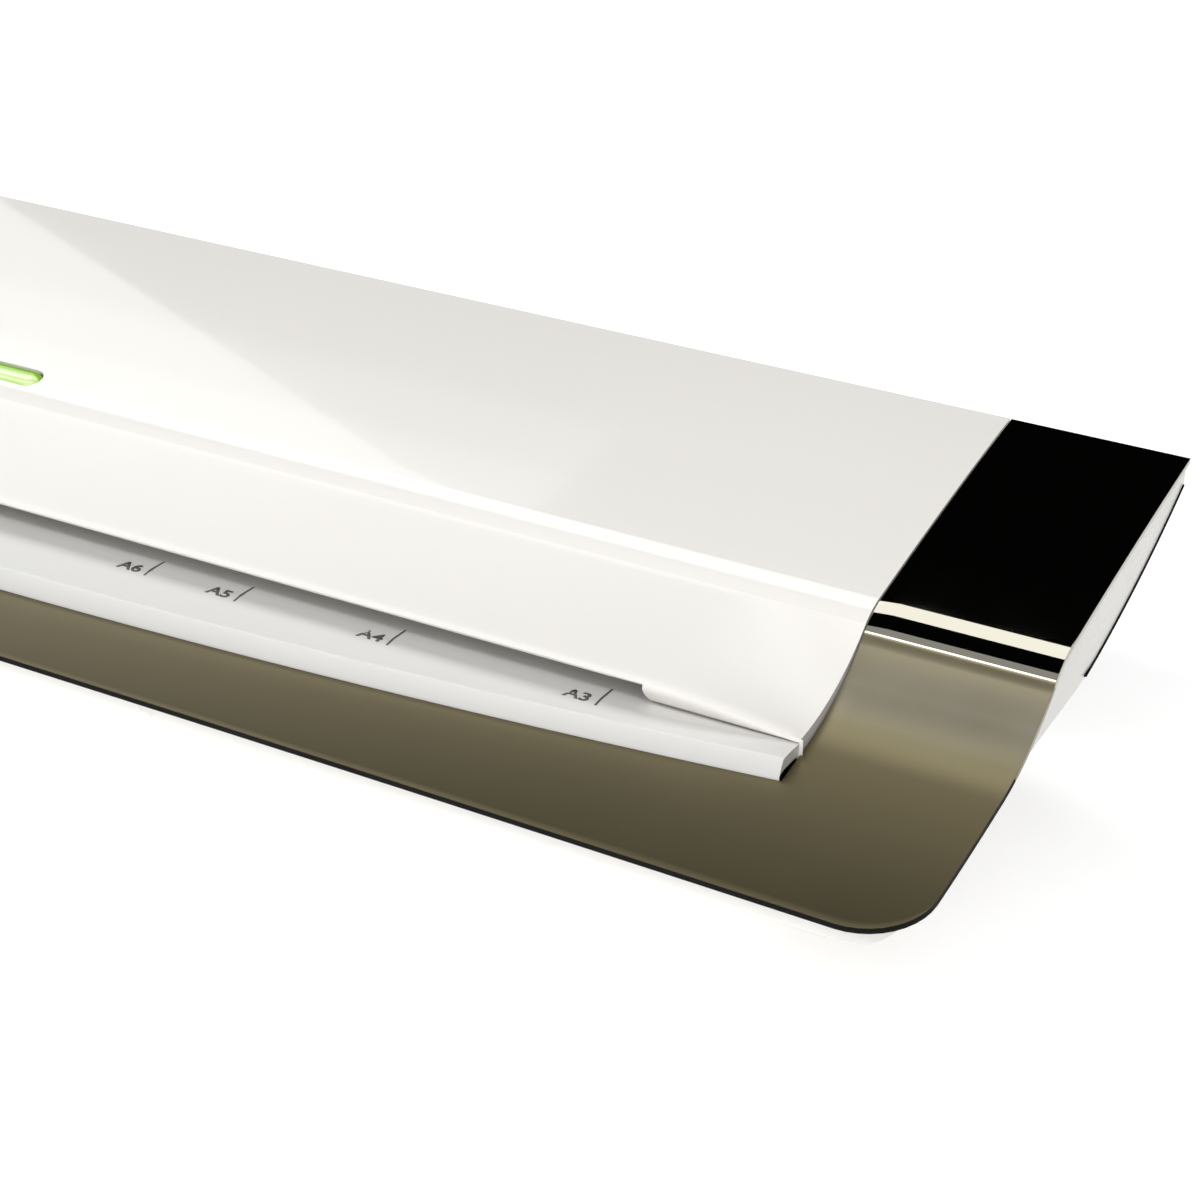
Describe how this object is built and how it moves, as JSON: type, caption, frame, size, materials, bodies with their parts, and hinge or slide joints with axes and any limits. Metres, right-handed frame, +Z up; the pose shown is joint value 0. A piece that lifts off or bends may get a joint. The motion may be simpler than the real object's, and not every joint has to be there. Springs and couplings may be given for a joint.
{
  "type": "pouch laminator",
  "caption": "Desktop pouch laminator with a glossy white cover, bronze U-shaped trim, feed shelf, heated roller drive and a lit start button.",
  "frame": {"origin": "bottom centre of the whole machine, on the surface it stands on", "axes": "+X to the right of someone at the feed slot, +Y towards the exit at the rear, +Z up"},
  "size_m": [0.439, 0.128, 0.0674],
  "materials": {
    "white_gloss": "polished injection-moulded white",
    "white_satin": "fine satin, printed size marks",
    "hull_white": "light grey-white moulding",
    "bronze": "high-gloss olive bronze",
    "black_plastic": "fine texture",
    "green_lens": "translucent, lit from below",
    "lamp_green": "clear tinted",
    "rubber_foot": "soft, matt",
    "steel": "zinc plated",
    "silicone_hot": "ground silicone",
    "silicone_pull": "ground silicone",
    "nylon": "moulded, greased",
    "aluminium": "extruded",
    "heater_film": "polyimide film",
    "circuit_board": "solder resist",
    "terminal_blue": "moulded",
    "brass": "plated"
  },
  "bodies": {
    "case": {"base_shell": "hull_white", "board_screws": "steel", "bottom_cover": "black_plastic", "button_board": "circuit_board", "button_lamps": "lamp_green", "button_spring": "steel", "capacitor": "black_plastic", "control_board": "circuit_board", "cover_screws": "steel", "cross_bar_front": "steel", "cross_bar_rear": "steel", "drive_motor": "black_plastic", "exit_guide": "black_plastic", "feed_shelf": "white_satin", "film_guide_lower": "black_plastic", "film_guide_upper": "black_plastic", "foot_front_left": "rubber_foot", "foot_front_right": "rubber_foot", "foot_rear_left": "rubber_foot", "foot_rear_right": "rubber_foot", "frame_trim": "bronze", "gear_clips": "steel", "heat_plate_lower": "aluminium", "heat_plate_upper": "aluminium", "heater_strip_lower": "heater_film", "heater_strip_upper": "heater_film", "idler_post": "steel", "inlet_pins": "brass", "leaf_springs": "steel", "motor_bracket": "steel", "power_inlet": "black_plastic", "reduction_post": "steel", "relay": "black_plastic", "roller_bushes": "nylon", "side_plate_left": "steel", "side_plate_right": "steel", "temperature_sensor": "heater_film", "terminal_block": "terminal_blue", "thermal_fuse": "heater_film", "thermostat": "black_plastic", "top_cover": "white_gloss"},
    "button": {"start_button": "green_lens"},
    "hot_lower": {"hot_lower_shaft": "steel", "hot_lower_sleeve": "silicone_hot", "hot_lower_gear": "nylon"},
    "hot_upper": {"hot_upper_shaft": "steel", "hot_upper_sleeve": "silicone_hot", "hot_upper_gear": "nylon"},
    "pull_lower": {"pull_lower_shaft": "steel", "pull_lower_sleeve": "silicone_pull", "pull_lower_gear": "nylon"},
    "pull_upper": {"pull_upper_shaft": "steel", "pull_upper_sleeve": "silicone_pull", "pull_upper_gear": "nylon"},
    "idler": {"idler_gear": "nylon"},
    "reduction": {"reduction_gear": "nylon"},
    "pinion": {"motor_pinion": "nylon", "motor_shaft": "steel"}
  },
  "joints": [
    {"name": "button_press", "type": "slide", "parent": "case", "child": "button", "axis": [0, 0.2382, -0.9712], "range_m": [0, 0.0012], "stiffness_N_per_m": 900, "deforming": ["button_spring"]},
    {"name": "hot_lower_spin", "type": "hinge", "parent": "case", "child": "hot_lower", "pos_m": [0, 0.0178, 0.0292], "axis": [1, 0, 0], "continuous": true},
    {"name": "hot_upper_spin", "type": "hinge", "parent": "case", "child": "hot_upper", "pos_m": [0, 0.0178, 0.0452], "axis": [1, 0, 0], "continuous": true},
    {"name": "pull_lower_spin", "type": "hinge", "parent": "case", "child": "pull_lower", "pos_m": [0, 0.045, 0.0292], "axis": [1, 0, 0], "continuous": true},
    {"name": "pull_upper_spin", "type": "hinge", "parent": "case", "child": "pull_upper", "pos_m": [0, 0.045, 0.0452], "axis": [1, 0, 0], "continuous": true},
    {"name": "idler_spin", "type": "hinge", "parent": "case", "child": "idler", "pos_m": [0.1696, 0.0314, 0.0292], "axis": [1, 0, 0], "continuous": true},
    {"name": "reduction_spin", "type": "hinge", "parent": "case", "child": "reduction", "pos_m": [0.1696, 0.007, 0.01633], "axis": [1, 0, 0], "continuous": true},
    {"name": "pinion_spin", "type": "hinge", "parent": "case", "child": "pinion", "pos_m": [0.1696, -0.00691, 0.02139], "axis": [1, 0, 0], "continuous": true}
  ],
  "couplings": [
    {"joint": "hot_upper_spin", "follows": "hot_lower_spin", "ratio": -1},
    {"joint": "idler_spin", "follows": "hot_lower_spin", "ratio": -1.4286},
    {"joint": "pull_lower_spin", "follows": "hot_lower_spin", "ratio": 1},
    {"joint": "pull_upper_spin", "follows": "hot_lower_spin", "ratio": -1},
    {"joint": "reduction_spin", "follows": "hot_lower_spin", "ratio": -0.90909},
    {"joint": "pinion_spin", "follows": "hot_lower_spin", "ratio": 1.3333}
  ]
}
